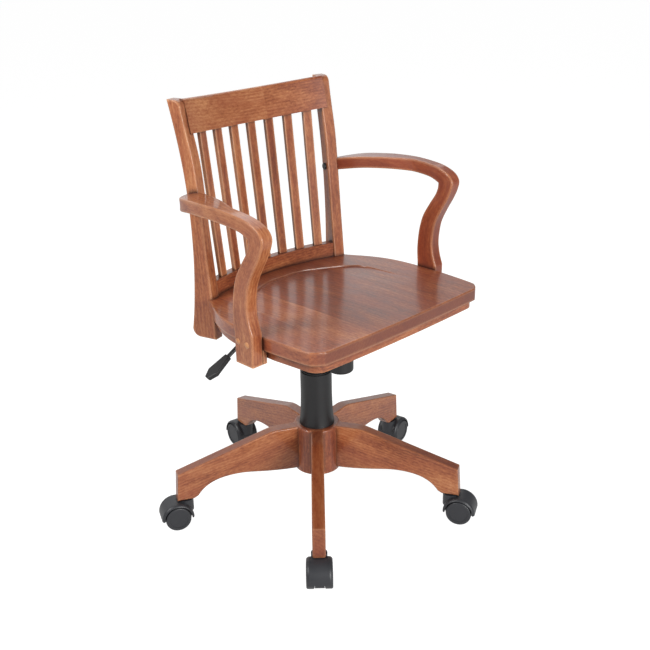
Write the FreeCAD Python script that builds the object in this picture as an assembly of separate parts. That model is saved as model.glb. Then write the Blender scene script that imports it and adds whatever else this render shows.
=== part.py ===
"""Bankers swivel chair in stained hardwood on a five-leg base with twin-wheel casters.

Millimetres, +Z up.  The origin lies on the floor under the swivel axis.  The seat faces
-Y, and left and right are as seen by someone who stands in front of the chair, so the
right arm is at +X.  The seat is at its lowest height and the back is upright.
"""
import FreeCAD, Part
import math
import os

V = FreeCAD.Vector
UP = V(0, 0, 1)

# Running fits and small gaps
RUN_FIT = 0.05
SIDE_GAP = 0.5
SEAM = 0.3

# Base: hub, legs and caster sockets
LEG_COUNT = 5
FIRST_LEG_DEG = -134.4
HUB_R = 47.5
HUB_BOTTOM = 83.0
HUB_TOP = 184.0
HUB_EDGE = 4.0
LEG_THICK = 25.0
LEG_TIP_R = 302.5
LEG_TIP_TOP = 121.0
LEG_FOOT_Z = 61.0
LEG_FOOT_LENGTH = 34.0
LEG_EDGE = 3.0
LEG_CROWN_R = 98.0
LEG_CROWN_ROUND = 73.0
LEG_DEPTH_IN_HUB = 14.0
STEM_R = 5.5
STEM_INSET = 17.5
SOCKET_WALL = 1.8
SOCKET_DEPTH = 34.0

# Casters
WHEEL_R = 26.0
WHEEL_WIDTH = 15.5
WHEEL_EDGE = 3.0
WEB_WIDTH = 18.0
CASTER_WIDTH = 50.5
CASTER_TRAIL = 21.0
HOOD_R = 33.0
HOOD_GAP = 2.5
HOOD_SHOULDER = 7.0
AXLE_R = 3.0
HUB_CAP_R = 19.0
HUB_CAP_SINK = 0.8
BOSS_R = 15.5
CASTER_TOP_GAP = 1.0

# Gas lift and its telescopic cover
TUBE_R = 25.0
TUBE_WALL = 2.0
TUBE_BOTTOM = 74.0
TUBE_TOP = 298.0
TUBE_FLOOR = 4.0
CYLINDER_R = 14.0
CYLINDER_WALL = 2.5
BUSH_LENGTH = 60.0
ROD_R = 5.0
PISTON_HEIGHT = 14.0
BEARING_R = 16.0
BEARING_HEIGHT = 8.0
LIFT_TRAVEL = 100.0
COVER_FLARE_R = 36.0
COVER_LOW_R = 32.2
COVER_WALL = 2.0
COVER_STEP_GAP = 0.3
COVER_LOW_TOP = 301.0
COVER_FLARE_HEIGHT = 62.0
COVER_RIM_STEP = 3.0
COVER_SEAT_GAP = 0.3

# Seat
SEAT_TOP = 481.0
SEAT_THICK = 25.0
BOARD_THICK = 17.0
BOARD_INSET = 9.0
SEAT_HALF = 236.0
SEAT_FRONT = -241.0
SEAT_CORNER_INSET = 39.0
SEAT_BACK = 168.0
SEAT_BACK_INSET = 78.0
SEAT_BACK_CORNER_Y = 150.0
SEAT_EDGE = 4.0
DISH_DEPTH = 4.0
DISH_FRONT = -165.0
DISH_BACK = 91.0
DISH_INSET = 72.0

# Tilt mechanism
HOUSING_HALF = 56.0
HOUSING_FRONT = -106.0
HOUSING_REAR = 50.0
HOUSING_HEIGHT = 56.0
HOUSING_WALL = 2.5
PLATE_THICK = 2.5
PLATE_HALF = 82.0
PLATE_FRONT = -116.0
PLATE_REAR = 96.0
HOUSING_TO_PLATE = 8.5
PIVOT_Y = 28.0
PIVOT_DROP = 21.0
PIVOT_R = 5.0
EAR_R = 9.5
SOCKET_R = 18.0
KNOB_Y = -71.0
KNOB_R = 25.0
KNOB_HEIGHT = 30.0
KNOB_GAP = 19.0
BOLT_R = 5.0
BOLT_HEAD_R = 9.0
BOLT_HEAD_HEIGHT = 5.0
BOLT_FLANGE_R = 16.0
BOLT_FLANGE_THICK = 2.0
BOLT_TO_PLATE = 4.0
SPRING_R = 18.0
SPRING_WIRE = 5.0
SPRING_TURNS = 5
SCREW_R = 3.0
SCREW_HEAD_R = 6.5
SCREW_HEAD_HEIGHT = 3.6
SEAT_SCREW_X = 68.0
SEAT_SCREW_Y = (-96.0, 78.0)

# Height lever
LEVER_R = 4.0
LEVER_YAW_DEG = 10.4
LEVER_REACH = 171.0
LEVER_INNER = 8.0
LEVER_DROP_LENGTH = 50.0
LEVER_DROP_DEG = 35.0
LEVER_SLOT_HALF = 7.0
LEVER_PIVOT = 46.8
LEVER_PIN_R = 2.0
CHEEK_THICK = 3.0
CHEEK_REACH = 9.0
PADDLE_LENGTH = 58.0
PADDLE_WIDTH = 30.0
PADDLE_NECK = 15.0
PADDLE_THICK = 9.0
CYLINDER_TO_LEVER = 6.5

# Back: posts, crest, lower rail and slats
BACK_R = 487.0
POST_WIDTH = 24.5
POST_TURN_DEG = 16.6
POST_LEAN_DEG = 0.9
POST_OUT = 150.0
POST_BOTTOM = 399.0
POST_TOP = 853.0
POST_DEPTH_TOP = 26.0
POST_DEPTH_LOW = 53.0
POST_HEEL = 17.0
POST_ROUND = 15.0
POST_EDGE = 2.5
POST_FRONT_Y = (136.6, 140.5, 147.9, 160.5, 167.5, 178.0, 188.0)
POST_BACK_Y = (203.0, 186.0, 179.5, 179.0, 182.0, 187.5)
CREST_DROP = 62.0
CREST_CHORD_Y = 135.0
CREST_TILT_DEG = 14.0
CREST_HEIGHT = 64.5
CREST_THICK = 22.0
CREST_HALF = 176.0
CREST_EDGE = 6.0
RAIL_CHORD_Y = 101.5
RAIL_HEIGHT = 29.5
RAIL_THICK = 20.0
RAIL_EDGE = 2.0
CHORD_HALF = 165.0
SLAT_COUNT = 7
SLAT_WIDTH = 19.5
SLAT_THICK = 8.0
SLAT_SETBACK = 4.0
SLAT_PITCH_TOP = 44.9
SLAT_PITCH_LOW = 42.9
SLAT_TENON = 10.0
SLAT_EDGE = 1.2

# Arms
ARM_THICK = 25.0
ARM_TOP = 701.0
ARM_BLANK_FRONT = -170.0
ARM_FOOT_BOTTOM = 430.0
ARM_FOOT_TOP = 488.0
ARM_EDGE = 4.0
PLUG_R = 6.0
PLUG_PROUD = 2.0
PLUG_DEPTH = 8.0
PLUG_PLACES = ((-74.5, 14.5), (-97.8, 13.3))
PAD_FRONT = -107.4
PAD_BACK = -66.2
ARM_BOLT_R = 4.0
ARM_BOLT_HEAD_R = 7.0
ARM_BOLT_HEAD = 3.0
ARM_BOLT_LENGTH = 46.0
ARM_BOLT_DEPTH = 173.0
ARM_BOLT_DROP = 30.0

# Derived places and heights
STEM_PLACE_R = LEG_TIP_R - STEM_INSET
SEAT_CORNER_X = SEAT_HALF - SEAT_CORNER_INSET
SEAT_BACK_CORNER_X = SEAT_HALF - SEAT_BACK_INSET
DISH_HALF = SEAT_HALF - DISH_INSET
ARM_OUT = SEAT_HALF + ARM_THICK
ARM_BOLT_Z = ARM_TOP - ARM_BOLT_DROP
CREST_BOTTOM = POST_TOP - CREST_DROP
SEAT_UNDER = SEAT_TOP - SEAT_THICK
BOARD_UNDER = SEAT_UNDER - BOARD_THICK
PLATE_UNDER = BOARD_UNDER - PLATE_THICK
HOUSING_TOP = PLATE_UNDER - HOUSING_TO_PLATE
HOUSING_BOTTOM = HOUSING_TOP - HOUSING_HEIGHT
PIVOT_Z = BOARD_UNDER - PIVOT_DROP
LEVER_Z = HOUSING_BOTTOM + 33.0
CYLINDER_TOP = LEVER_Z - LEVER_R - CYLINDER_TO_LEVER
KNOB_TOP = HOUSING_BOTTOM - KNOB_GAP
FLANGE_LOW = PLATE_UNDER - BOLT_TO_PLATE - BOLT_HEAD_HEIGHT - BOLT_FLANGE_THICK
TUBE_INNER_R = TUBE_R - TUBE_WALL
CYLINDER_INNER_R = CYLINDER_R - CYLINDER_WALL
HOOD_INNER_R = WHEEL_R + HOOD_GAP
WHEEL_FACE = WEB_WIDTH / 2 + SIDE_GAP

NODES = {}


def save(name, shape):
    """Keep a finished piece under its node name."""
    NODES[name] = shape


def cylinder(r, z0, z1, x=0.0, y=0.0):
    """Upright round bar between two heights."""
    return Part.makeCylinder(r, z1 - z0, V(x, y, z0), UP)


def ring(r_out, r_in, z0, z1):
    """Upright tube round the swivel axis."""
    return cylinder(r_out, z0, z1).cut(cylinder(r_in, z0 - 1, z1 + 1))


def box(x0, x1, y0, y1, z0, z1):
    """Box between opposite corners."""
    return Part.makeBox(x1 - x0, y1 - y0, z1 - z0, V(x0, y0, z0))


def curve(points):
    """Smooth edge through points."""
    spline = Part.BSplineCurve()
    spline.interpolate(points)
    return spline.toShape()


def line(a, b):
    """Straight edge."""
    return Part.makeLine(a, b)


def arc(a, b, c):
    """Arc through three points."""
    return Part.Arc(a, b, c).toShape()


def solid(edges, way):
    """Solid swept from a closed flat outline along a straight way."""
    return Part.Face(Part.Wire(edges)).extrude(way)


def edges_where(shape, test):
    """Edges whose middle point passes the test."""
    found = []
    for edge in shape.Edges:
        middle = edge.valueAt((edge.FirstParameter + edge.LastParameter) / 2)
        if test(edge, middle):
            found.append(edge)
    return found


def soften(shape, radius, test):
    """Round the edges that pass the test."""
    return shape.makeFillet(radius, edges_where(shape, test))


def mirrored(shape):
    """The same piece on the other side of the chair."""
    return shape.mirror(V(0, 0, 0), V(1, 0, 0))


def mirrored_point(p):
    """The same point on the other side of the chair."""
    return V(-p.x, p.y, p.z)


def turned(shape, degrees):
    """A copy turned round the swivel axis."""
    copy = shape.copy()
    copy.rotate(V(0, 0, 0), UP, degrees)
    return copy


def leg_blank():
    """One leg along +X, from inside the hub to its tip: straight on top, with a crown by the hub."""
    foot_in = LEG_TIP_R - LEG_FOOT_LENGTH
    root = HUB_R - LEG_DEPTH_IN_HUB
    crown = V(LEG_CROWN_R, 0, HUB_TOP - 0.5)
    top = [V(root, 0, HUB_TOP - 0.5), crown, V(LEG_TIP_R - 3, 0, LEG_TIP_TOP)]
    belly = foot_in - 42 - root
    low = LEG_FOOT_Z
    under = [V(foot_in - 9, 0, low + 5), V(foot_in - 24, 0, low + 21), V(foot_in - 42, 0, low + 31),
             V(root + 0.856 * belly, 0, low + 37.5), V(root + 0.65 * belly, 0, low + 38),
             V(root + 0.496 * belly, 0, low + 34), V(root + 0.332 * belly, 0, low + 30),
             V(root, 0, HUB_BOTTOM + 5)]
    tip = V(LEG_TIP_R + 1, 0, low)
    heel = V(foot_in, 0, low)
    outline = [line(top[0], crown), line(crown, top[2]), line(top[2], tip), line(tip, heel),
               line(heel, under[0]), curve(under), line(under[-1], top[0])]
    leg = solid(outline, V(0, LEG_THICK, 0))
    leg.translate(V(0, -LEG_THICK / 2, 0))
    leg = soften(leg, LEG_CROWN_ROUND, lambda e, m: (m - crown).Length < 0.1)
    return soften(leg, LEG_EDGE, lambda e, m: abs(abs(m.y) - LEG_THICK / 2) < 0.1
                  and m.x > root + 1)


def make_base():
    """Hub, five legs let into it, and the sockets for the caster stems."""
    blank = leg_blank()
    socket_r = STEM_R + RUN_FIT + SOCKET_WALL
    socket_top = LEG_FOOT_Z + SOCKET_DEPTH
    bore = cylinder(socket_r, LEG_FOOT_Z - 1, socket_top, STEM_PLACE_R)
    leg = blank.cut(bore)
    socket = cylinder(socket_r, LEG_FOOT_Z, socket_top, STEM_PLACE_R)
    socket = socket.cut(cylinder(STEM_R + RUN_FIT, LEG_FOOT_Z - 1, socket_top - 3, STEM_PLACE_R))
    hub = ring(HUB_R, TUBE_R, HUB_BOTTOM, HUB_TOP)
    hub = soften(hub, HUB_EDGE, lambda e, m: m.z > HUB_TOP - 0.1 and math.hypot(m.x, m.y) > TUBE_R + 5)
    sockets = []
    for k in range(LEG_COUNT):
        angle = FIRST_LEG_DEG + k * 360.0 / LEG_COUNT
        hub = hub.cut(turned(blank, angle))
        save("base_leg_%d" % (k + 1), turned(leg, angle))
        sockets.append(turned(socket, angle))
    save("base_hub", hub)
    save("caster_sockets", Part.makeCompound(sockets))


def caster_pieces():
    """Hood, stem with axle, and two wheels of a caster that trails along +X."""
    cx = STEM_PLACE_R + CASTER_TRAIL
    cz = WHEEL_R
    half = CASTER_WIDTH / 2
    wide = Part.makeCylinder(HOOD_R, CASTER_WIDTH, V(cx, -half, cz), V(0, 1, 0))
    wide = wide.makeFillet(HOOD_SHOULDER, wide.Edges)
    reach = V(STEM_PLACE_R - BOSS_R, 0, 0).x
    hollow = Part.makeCylinder(HOOD_INNER_R, CASTER_WIDTH + 2, V(cx, -half - 1, cz), V(0, 1, 0))
    web = Part.makeCylinder(HOOD_INNER_R + 1, WEB_WIDTH, V(cx, -WEB_WIDTH / 2, cz), V(0, 1, 0))
    below = box(reach - 40, cx + HOOD_R + 5, -half - 1, half + 1, -20, cz - 1)
    web_floor = box(reach - 40, cx + HOOD_R + 5, -half - 1, half + 1, -20, cz - 10)
    hood = wide.cut(hollow).cut(below).fuse(web.cut(web_floor))
    boss_top = LEG_FOOT_Z - CASTER_TOP_GAP
    boss = cylinder(BOSS_R, cz + 8, boss_top, STEM_PLACE_R)
    clear_wheels = Part.makeCylinder(HOOD_INNER_R, half, V(cx, WEB_WIDTH / 2, cz), V(0, 1, 0))
    clear_wheels = clear_wheels.fuse(Part.makeCylinder(HOOD_INNER_R, half, V(cx, -half - WEB_WIDTH / 2, cz),
                                                       V(0, 1, 0)))
    hood = hood.fuse(boss.cut(clear_wheels)).removeSplitter()
    stem_low = cz + 12
    stem_top = LEG_FOOT_Z + SOCKET_DEPTH - 4
    stem = cylinder(STEM_R, stem_low, stem_top, STEM_PLACE_R)
    axle = Part.makeCylinder(AXLE_R, CASTER_WIDTH - 8, V(cx, -half + 4, cz), V(0, 1, 0))
    hood = hood.cut(stem).cut(axle)
    steel = Part.makeCompound([stem, axle])
    wheels = []
    for side in (-1, 1):
        inner = side * WHEEL_FACE
        wheel = Part.makeCylinder(WHEEL_R, WHEEL_WIDTH, V(cx, inner, cz), V(0, side, 0))
        wheel = wheel.makeFillet(WHEEL_EDGE, wheel.Edges[:1] + wheel.Edges[2:])
        outer = inner + side * WHEEL_WIDTH
        sink = Part.makeCylinder(HUB_CAP_R, 3, V(cx, outer - side * HUB_CAP_SINK, cz), V(0, side, 0))
        bore = Part.makeCylinder(AXLE_R + RUN_FIT, WHEEL_WIDTH - 2, V(cx, inner - side, cz), V(0, side, 0))
        wheels.append(wheel.cut(sink).cut(bore))
    return hood, steel, wheels


def make_casters():
    """Five casters, each trailing outward from its leg."""
    hood, steel, wheels = caster_pieces()
    for k in range(LEG_COUNT):
        angle = FIRST_LEG_DEG + k * 360.0 / LEG_COUNT
        stem_name = "caster_%d_" % (k + 1)
        save(stem_name + "hood", turned(hood, angle))
        save(stem_name + "stem", turned(steel, angle))
        save(stem_name + "wheel_a", turned(wheels[0], angle))
        save(stem_name + "wheel_b", turned(wheels[1], angle))


def make_lift():
    """Gas lift: outer tube, bush, piston rod on its bearing, sliding cylinder."""
    tube = ring(TUBE_R, TUBE_INNER_R, TUBE_BOTTOM, TUBE_TOP)
    tube = tube.fuse(ring(TUBE_R, ROD_R + RUN_FIT, TUBE_BOTTOM, TUBE_BOTTOM + TUBE_FLOOR))
    save("lift_tube", tube.removeSplitter())
    save("lift_bush", ring(TUBE_INNER_R, CYLINDER_R + RUN_FIT, TUBE_TOP - BUSH_LENGTH, TUBE_TOP))
    floor = TUBE_BOTTOM + TUBE_FLOOR
    rod_top = TUBE_TOP - 18
    rod = cylinder(ROD_R, TUBE_BOTTOM - 3, rod_top)
    rod = rod.fuse(cylinder(BEARING_R, floor + RUN_FIT, floor + BEARING_HEIGHT))
    rod = rod.fuse(cylinder(CYLINDER_INNER_R - RUN_FIT, rod_top - PISTON_HEIGHT, rod_top))
    rod = rod.fuse(cylinder(BEARING_R / 2, TUBE_BOTTOM - 3, TUBE_BOTTOM - RUN_FIT))
    save("lift_rod", rod.removeSplitter())
    low = floor + BEARING_HEIGHT + 22
    barrel = cylinder(CYLINDER_R, low, CYLINDER_TOP)
    save("lift_cylinder", barrel.cut(cylinder(CYLINDER_INNER_R, low - 1, CYLINDER_TOP - 12)))


def make_covers():
    """Telescopic cover in three sections, nested at the lowest height."""
    low = HUB_TOP
    flare_top = low + COVER_FLARE_HEIGHT
    inner = COVER_LOW_R - COVER_WALL
    outline = [curve([V(COVER_FLARE_R, 0, low), V(COVER_FLARE_R - 1.9, 0, low + 17),
                      V(COVER_LOW_R + 0.6, 0, low + 42), V(COVER_LOW_R, 0, flare_top)]),
               line(V(COVER_LOW_R, 0, flare_top), V(COVER_LOW_R, 0, COVER_LOW_TOP)),
               line(V(COVER_LOW_R, 0, COVER_LOW_TOP), V(inner, 0, COVER_LOW_TOP)),
               line(V(inner, 0, COVER_LOW_TOP), V(inner, 0, low)),
               line(V(inner, 0, low), V(COVER_FLARE_R, 0, low))]
    save("cover_lower", Part.Face(Part.Wire(outline)).revolve(V(0, 0, 0), UP, 360))
    mid_r = inner - COVER_STEP_GAP
    mid_in = mid_r - COVER_WALL
    mid_low = low + COVER_RIM_STEP
    save("cover_middle", ring(mid_r, mid_in, mid_low, COVER_LOW_TOP + COVER_RIM_STEP))
    top_r = mid_in - COVER_STEP_GAP
    upper_low = mid_low + COVER_RIM_STEP
    top_in = CYLINDER_R + RUN_FIT
    upper = ring(top_r, top_r - COVER_WALL / 2, upper_low, HOUSING_BOTTOM)
    cap = ring(top_r, top_in, HOUSING_BOTTOM - COVER_RIM_STEP, HOUSING_BOTTOM)
    save("cover_upper", upper.fuse(cap).removeSplitter())


def lever_path():
    """Points of the height lever's rod, from the valve out to the paddle."""
    yaw = math.radians(LEVER_YAW_DEG)
    drop = math.radians(LEVER_DROP_DEG)
    out = V(-math.cos(yaw), math.sin(yaw), 0)
    start = out * LEVER_INNER + V(0, 0, LEVER_Z)
    elbow = out * LEVER_REACH + V(0, 0, LEVER_Z)
    fall = out * math.cos(drop) - UP * math.sin(drop)
    return out, fall, start, elbow, elbow + fall * LEVER_DROP_LENGTH


def make_lever():
    """Bent steel rod and the flat paddle on its end."""
    out, fall, start, elbow, end = lever_path()
    rod = Part.makeCylinder(LEVER_R, (elbow - start).Length, start, out)
    rod = rod.fuse(Part.makeSphere(LEVER_R, elbow))
    rod = rod.fuse(Part.makeCylinder(LEVER_R, LEVER_DROP_LENGTH, elbow, fall))
    side = fall.cross(UP).normalize()
    pin_half = LEVER_R + SIDE_GAP + CHEEK_THICK
    rod = rod.fuse(Part.makeCylinder(LEVER_PIN_R, 2 * pin_half, out * LEVER_PIVOT + UP * LEVER_Z
                                     - side * pin_half, side))
    face = side.cross(fall).normalize()
    neck = elbow + fall * (LEVER_DROP_LENGTH - 16)
    tip = neck + fall * PADDLE_LENGTH
    wide = neck + fall * (PADDLE_LENGTH * 0.72)
    a, b = neck + side * (PADDLE_NECK / 2), neck - side * (PADDLE_NECK / 2)
    c, d = wide - side * (PADDLE_WIDTH / 2), wide + side * (PADDLE_WIDTH / 2)
    e, f = tip - side * (PADDLE_WIDTH * 0.2), tip + side * (PADDLE_WIDTH * 0.2)
    paddle = solid([line(a, b), line(b, c), line(c, e), line(e, f), line(f, d), line(d, a)],
                   face * PADDLE_THICK)
    paddle.translate(face * (-PADDLE_THICK / 2))
    paddle = paddle.makeFillet(2.5, paddle.Edges)
    save("lever_rod", rod.removeSplitter())
    save("lever_paddle", paddle.cut(rod))


def make_mechanism():
    """Pressed housing with the lift's socket, pivot pin and spring."""
    outer = box(-HOUSING_HALF, HOUSING_HALF, HOUSING_FRONT, HOUSING_REAR, HOUSING_BOTTOM, HOUSING_TOP)
    outer = soften(outer, 8, lambda e, m: m.z > HOUSING_BOTTOM + 1 and m.z < HOUSING_TOP - 1)
    w = HOUSING_WALL
    inner = box(-HOUSING_HALF + w, HOUSING_HALF - w, HOUSING_FRONT + w, HOUSING_REAR - w,
                HOUSING_BOTTOM + w, HOUSING_TOP + 1)
    housing = outer.cut(inner)
    housing = housing.fuse(cylinder(SOCKET_R, HOUSING_BOTTOM, CYLINDER_TOP - 2))
    housing = housing.cut(cylinder(CYLINDER_R, HOUSING_BOTTOM - 1, CYLINDER_TOP + 1))
    pin_hole = Part.makeCylinder(PIVOT_R + RUN_FIT, 4 * HOUSING_HALF, V(-2 * HOUSING_HALF, PIVOT_Y, PIVOT_Z),
                                 V(1, 0, 0))
    bolt_hole = cylinder(BOLT_R + RUN_FIT, HOUSING_BOTTOM - 1, HOUSING_BOTTOM + w + 1, 0, KNOB_Y)
    gap = LEVER_R + SIDE_GAP
    slot = box(-HOUSING_HALF - 5, -HOUSING_HALF + 6, -gap, gap, LEVER_Z - LEVER_SLOT_HALF,
               LEVER_Z + LEVER_SLOT_HALF)
    cheeks = box(-HOUSING_HALF - 5, -LEVER_PIVOT + CHEEK_REACH / 2 + 2, -gap - CHEEK_THICK, gap + CHEEK_THICK,
                 LEVER_Z - LEVER_SLOT_HALF + 1, LEVER_Z + LEVER_SLOT_HALF - 1)
    cheeks = cheeks.cut(box(-2 * HOUSING_HALF, 0, -gap, gap, HOUSING_BOTTOM, HOUSING_TOP))
    cheeks = cheeks.cut(Part.makeCylinder(LEVER_PIN_R + RUN_FIT, 4 * gap, V(-LEVER_PIVOT, -2 * gap, LEVER_Z),
                                          V(0, 1, 0)))
    cheeks = turned(cheeks, -LEVER_YAW_DEG)
    left_half = box(0.5 - HOUSING_HALF, 0, -HOUSING_HALF, HOUSING_HALF, HOUSING_BOTTOM, HOUSING_TOP)
    cheeks = cheeks.common(left_half)
    housing = housing.fuse(cheeks).cut(turned(slot, -LEVER_YAW_DEG))
    save("mech_housing", housing.cut(pin_hole).cut(bolt_hole).removeSplitter())
    ear_out = HOUSING_HALF + SIDE_GAP + PLATE_THICK
    pin = Part.makeCylinder(PIVOT_R, 2 * ear_out + 6, V(-ear_out - 3, PIVOT_Y, PIVOT_Z), V(1, 0, 0))
    save("pivot_pin", pin)
    spring_low = HOUSING_BOTTOM + w
    spring_top = FLANGE_LOW - SEAM
    pitch = (spring_top - spring_low - SPRING_WIRE) / SPRING_TURNS
    helix = Part.makeHelix(pitch, pitch * SPRING_TURNS, SPRING_R - SPRING_WIRE / 2)
    section = Part.Wire(Part.makeCircle(SPRING_WIRE / 2, V(SPRING_R - SPRING_WIRE / 2, 0, 0), V(0, 1, 0)))
    coil = Part.Wire(helix.Edges).makePipeShell([section], True, True)
    coil.translate(V(0, KNOB_Y, spring_low + SPRING_WIRE / 2))
    save("tension_spring", coil)


def make_knob():
    """Round tension knob and the bolt that it turns."""
    low = KNOB_TOP - KNOB_HEIGHT
    knob = cylinder(KNOB_R, low, KNOB_TOP, 0, KNOB_Y)
    knob = soften(knob, 5, lambda e, m: abs(m.z - low) < 0.1 or abs(m.z - KNOB_TOP) < 0.1)
    flange_top = FLANGE_LOW + BOLT_FLANGE_THICK
    bolt = cylinder(BOLT_R, low + 10, FLANGE_LOW, 0, KNOB_Y)
    bolt = bolt.fuse(cylinder(BOLT_FLANGE_R, FLANGE_LOW, flange_top, 0, KNOB_Y))
    bolt = bolt.fuse(cylinder(BOLT_HEAD_R, flange_top, flange_top + BOLT_HEAD_HEIGHT, 0, KNOB_Y))
    save("tension_knob", knob.cut(bolt))
    save("tension_bolt", bolt.removeSplitter())


def seat_outline(inset, z):
    """Closed outline of the seat at a height, drawn in from its edge."""
    half = SEAT_HALF - inset
    front = SEAT_FRONT + inset
    corner = SEAT_CORNER_X - inset * 0.4
    right = [V(half - 7, front + 33 - inset * 0.3, z), V(half, front + 111 - inset, z), V(half, -50, z)]
    taper = [V(half, -50, z), V(half - 6, 0, z), V(half - 22, 45, z), V(half - 46, 88, z),
             V(SEAT_BACK_CORNER_X - inset * 0.6, SEAT_BACK_CORNER_Y - inset, z)]
    back = SEAT_BACK - inset
    edges = [arc(V(-corner, front + 4, z), V(0, front, z), V(corner, front + 4, z)),
             arc(V(corner, front + 4, z), V(corner + 20, front + 13, z), right[0]),
             line(right[0], right[1]), line(right[1], right[2]), curve(taper)]
    left = [mirrored(edge) for edge in edges[1:]]
    rear = arc(taper[-1], V(0, back, z), V(-taper[-1].x, taper[-1].y, z))
    return Part.Wire(Part.__sortEdges__(edges + [rear] + left))


def dish():
    """Hollow in the seat's top: crisp at the back and sides, running out level at the front."""
    z = SEAT_TOP - DISH_DEPTH - 1
    half = DISH_HALF
    rear = [V(0, DISH_BACK, z), V(44, DISH_BACK - 2, z), V(88, DISH_BACK - 21, z), V(133, DISH_BACK - 48, z),
            V(half - 8, DISH_BACK - 75, z), V(half - 1, DISH_BACK - 125, z), V(half, DISH_FRONT + 60, z)]
    rear = [mirrored_point(p) for p in rear[:0:-1]] + rear
    front = arc(rear[-1], V(0, DISH_FRONT - 10, z), rear[0])
    prism = solid([curve(rear), front], UP * (DISH_DEPTH + 3))
    deep, level, top = DISH_BACK + 3, DISH_FRONT, SEAT_TOP
    a, b = V(-half - 5, deep, top - DISH_DEPTH), V(-half - 5, level, top)
    c, d = V(-half - 5, level, top + 1), V(-half - 5, deep, top + 1)
    wedge = solid([line(a, b), line(b, c), line(c, d), line(d, a)], V(2 * half + 10, 0, 0))
    return prism.common(wedge)


def seat_screws():
    """Four bolts that hold the mechanism's plate to the seat."""
    parts = []
    for x in (-SEAT_SCREW_X, SEAT_SCREW_X):
        for y in SEAT_SCREW_Y:
            head = cylinder(SCREW_HEAD_R, PLATE_UNDER - SCREW_HEAD_HEIGHT, PLATE_UNDER, x, y)
            shank = cylinder(SCREW_R, PLATE_UNDER, SEAT_UNDER + SEAT_THICK * 0.4, x, y)
            parts.append(head.fuse(shank).removeSplitter())
    return Part.makeCompound(parts)


def make_seat(posts):
    """Dished seat panel, board under it, steel plate and its bolts."""
    screws = seat_screws()
    panel = Part.Face(seat_outline(0, SEAT_UNDER)).extrude(UP * SEAT_THICK)
    panel = soften(panel, SEAT_EDGE, lambda e, m: m.z > SEAT_TOP - 0.1)
    panel = panel.cut(dish()).cut(screws)
    board = Part.Face(seat_outline(BOARD_INSET, BOARD_UNDER)).extrude(UP * BOARD_THICK).cut(screws)
    for post in posts:
        panel = panel.cut(post)
        board = board.cut(post)
    save("seat_panel", panel)
    save("seat_underboard", board)
    plate = box(-PLATE_HALF, PLATE_HALF, PLATE_FRONT, PLATE_REAR, PLATE_UNDER, BOARD_UNDER)
    plate = soften(plate, 12, lambda e, m: abs(m.z - PLATE_UNDER - PLATE_THICK / 2) < 0.1 and e.Length < 5)
    for side in (-1, 1):
        x0 = side * (HOUSING_HALF + SIDE_GAP)
        x1 = x0 + side * PLATE_THICK
        ear = box(min(x0, x1), max(x0, x1), PIVOT_Y - EAR_R, PIVOT_Y + EAR_R, PIVOT_Z, PLATE_UNDER + 1)
        tip = Part.makeCylinder(EAR_R, PLATE_THICK, V(min(x0, x1), PIVOT_Y, PIVOT_Z), V(1, 0, 0))
        plate = plate.fuse(ear).fuse(tip)
    save("seat_plate", plate.cut(NODES["pivot_pin"]).cut(screws).removeSplitter())
    save("seat_bolts", screws)


def post_frame(shape):
    """Put a post drawn across X and Y into its place on the right."""
    shape.rotate(V(POST_OUT, 0, POST_BOTTOM), V(0, 1, 0), -POST_LEAN_DEG)
    shape.rotate(V(0, 0, 0), UP, -POST_TURN_DEG)
    return shape


def make_arm_bolt():
    """Bolt from the inside of the right post into the arm."""
    start = V(POST_OUT - POST_WIDTH, ARM_BOLT_DEPTH, ARM_BOLT_Z)
    shank = Part.makeCylinder(ARM_BOLT_R, ARM_BOLT_LENGTH, start, V(1, 0, 0))
    head = Part.makeCylinder(ARM_BOLT_HEAD_R, ARM_BOLT_HEAD, start, V(-1, 0, 0))
    head = soften(head, 1.2, lambda e, m: m.x < start.x - 0.1 and e.Length > 2 * ARM_BOLT_HEAD_R)
    return post_frame(head.fuse(shank).removeSplitter())


def make_post():
    """Right back post, sabre-curved, deep at the seat and slim at the top."""
    def at(y, share):
        """Point of the side view at a share of the height from the seat to the crest."""
        return V(0, y, SEAT_TOP + share * (CREST_BOTTOM - SEAT_TOP))
    low_y, top_y = POST_FRONT_Y[0], POST_FRONT_Y[-1]
    front = [at(y, share) for y, share in zip(POST_FRONT_Y[1:-1], (0, 0.239, 0.674, 0.852, 1))]
    front = [V(0, low_y, POST_BOTTOM)] + front + [V(0, top_y, POST_TOP - POST_ROUND)]
    back = [at(y, share) for y, share in zip(POST_BACK_Y[:-1], (1, 0.674, 0.384, 0.239, 0.01))]
    back = [V(0, top_y + POST_DEPTH_TOP + 4, POST_TOP)] + back
    back += [V(0, POST_BACK_Y[-1], POST_BOTTOM + 31), V(0, low_y + POST_DEPTH_LOW, POST_BOTTOM + POST_HEEL)]
    heel = V(0, back[-1].y - POST_HEEL, POST_BOTTOM)
    heel_middle = V(0, back[-1].y - POST_HEEL * 0.29, POST_BOTTOM + POST_HEEL * 0.29)
    shoulder = V(0, front[-1].y + POST_ROUND, POST_TOP)
    crown = V(0, front[-1].y + POST_ROUND * 0.32, POST_TOP - POST_ROUND * 0.28)
    edges = [curve(front), arc(front[-1], crown, shoulder), line(shoulder, back[0]), curve(back),
             arc(back[-1], heel_middle, heel), line(heel, front[0])]
    post = solid(edges, V(POST_WIDTH, 0, 0))
    post.translate(V(POST_OUT - POST_WIDTH, 0, 0))
    inner = POST_OUT - POST_WIDTH
    post = soften(post, POST_EDGE, lambda e, m: (abs(m.x - POST_OUT) < 0.1 or abs(m.x - inner) < 0.1)
                  and e.Length > 12)
    return post_frame(post)


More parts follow.
